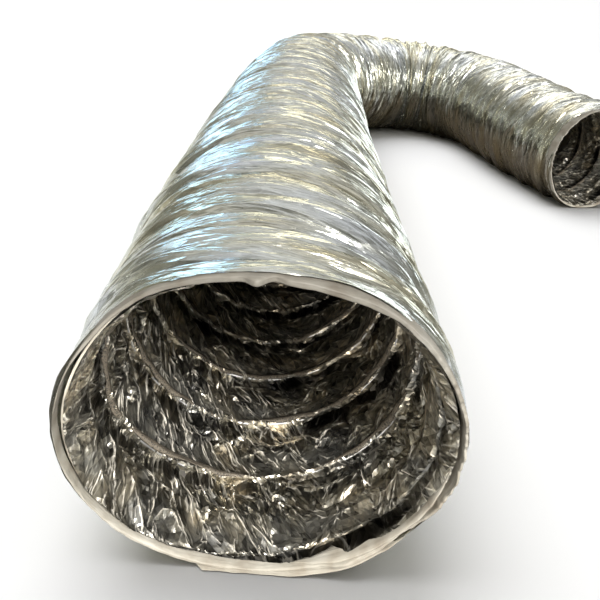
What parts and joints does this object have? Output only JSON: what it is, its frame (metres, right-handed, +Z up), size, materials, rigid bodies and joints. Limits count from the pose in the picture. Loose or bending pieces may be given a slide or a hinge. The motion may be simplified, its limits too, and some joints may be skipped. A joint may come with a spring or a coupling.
{
  "type": "flexible air duct",
  "caption": "Insulated flexible air duct: crinkled silver jacket over thin wadding, a spring-wire core and a dark crumpled liner, lying in a hook shape on the floor",
  "frame": {"origin": "middle of the whole duct's footprint, on the floor", "axes": "+Z up; +Y leads from the open mouth along the near run; +X towards the far end"},
  "size_m": [0.4744, 0.9626, 0.1377],
  "materials": {
    "jacket_film": "metallised film, silver, finely crinkled",
    "fold_film": "gathered metallised film over wadding",
    "wadding": "cream fibre blanket with a cut, slightly frayed edge",
    "core_film": "thin laminated film",
    "spring_wire": "drawn spring steel",
    "liner_film": "dark bronze metallised film, crumpled",
    "lap_strip": "narrow netted reinforcing strip"
  },
  "bodies": {
    "section_1": {"liner_1": "liner_film", "core_ply_1": "core_film", "wadding_1": "wadding", "jacket_1": "jacket_film", "wire_1": "spring_wire", "lap_strip_1": "lap_strip", "fold_1": "fold_film"},
    "section_2": {"liner_2": "liner_film", "core_ply_2": "core_film", "wadding_2": "wadding", "jacket_2": "jacket_film", "wire_2": "spring_wire", "lap_strip_2": "lap_strip", "fold_2": "fold_film"},
    "section_3": {"liner_3": "liner_film", "core_ply_3": "core_film", "wadding_3": "wadding", "jacket_3": "jacket_film", "wire_3": "spring_wire", "lap_strip_3": "lap_strip", "fold_3": "fold_film"},
    "section_4": {"liner_4": "liner_film", "core_ply_4": "core_film", "wadding_4": "wadding", "jacket_4": "jacket_film", "wire_4": "spring_wire", "lap_strip_4": "lap_strip", "fold_4": "fold_film"},
    "section_5": {"liner_5": "liner_film", "core_ply_5": "core_film", "wadding_5": "wadding", "jacket_5": "jacket_film", "wire_5": "spring_wire", "lap_strip_5": "lap_strip", "fold_5": "fold_film"},
    "section_6": {"liner_6": "liner_film", "core_ply_6": "core_film", "wadding_6": "wadding", "jacket_6": "jacket_film", "wire_6": "spring_wire", "lap_strip_6": "lap_strip", "fold_6": "fold_film"},
    "section_7": {"liner_7": "liner_film", "core_ply_7": "core_film", "wadding_7": "wadding", "jacket_7": "jacket_film", "wire_7": "spring_wire", "lap_strip_7": "lap_strip", "fold_7": "fold_film"},
    "section_8": {"liner_8": "liner_film", "core_ply_8": "core_film", "wadding_8": "wadding", "jacket_8": "jacket_film", "wire_8": "spring_wire", "lap_strip_8": "lap_strip"}
  },
  "joints": [
    {"name": "near_stretch", "type": "slide", "parent": "section_1", "child": "section_2", "axis": [0.0279, 0.9996, 0], "range_m": [-0.008, 0.02], "deforming": ["fold_1"]},
    {"name": "near_bend", "type": "hinge", "parent": "section_2", "child": "section_3", "pos_m": [-0.15197, -0.00604, 0.06885], "axis": [0, 0, 1], "range_deg": [-8, 8], "deforming": ["fold_2"]},
    {"name": "bend_entry", "type": "hinge", "parent": "section_3", "child": "section_4", "pos_m": [-0.13694, 0.21444, 0.06645], "axis": [0, 0, 1], "range_deg": [-4, 8], "deforming": ["fold_3"]},
    {"name": "bend_first", "type": "hinge", "parent": "section_4", "child": "section_5", "pos_m": [-0.02936, 0.40303, 0.06278], "axis": [0, 0, 1], "range_deg": [-4, 8], "deforming": ["fold_4"]},
    {"name": "bend_second", "type": "hinge", "parent": "section_5", "child": "section_6", "pos_m": [0.03531, 0.42103, 0.06165], "axis": [0, 0, 1], "range_deg": [-4, 8], "deforming": ["fold_5"]},
    {"name": "bend_exit", "type": "hinge", "parent": "section_6", "child": "section_7", "pos_m": [0.09667, 0.39378, 0.06053], "axis": [0, 0, 1], "range_deg": [-4, 8], "deforming": ["fold_6"]},
    {"name": "tail_stretch", "type": "slide", "parent": "section_7", "child": "section_8", "axis": [0.1357, -0.9907, 0], "range_m": [-0.008, 0.02], "deforming": ["fold_7"]}
  ]
}
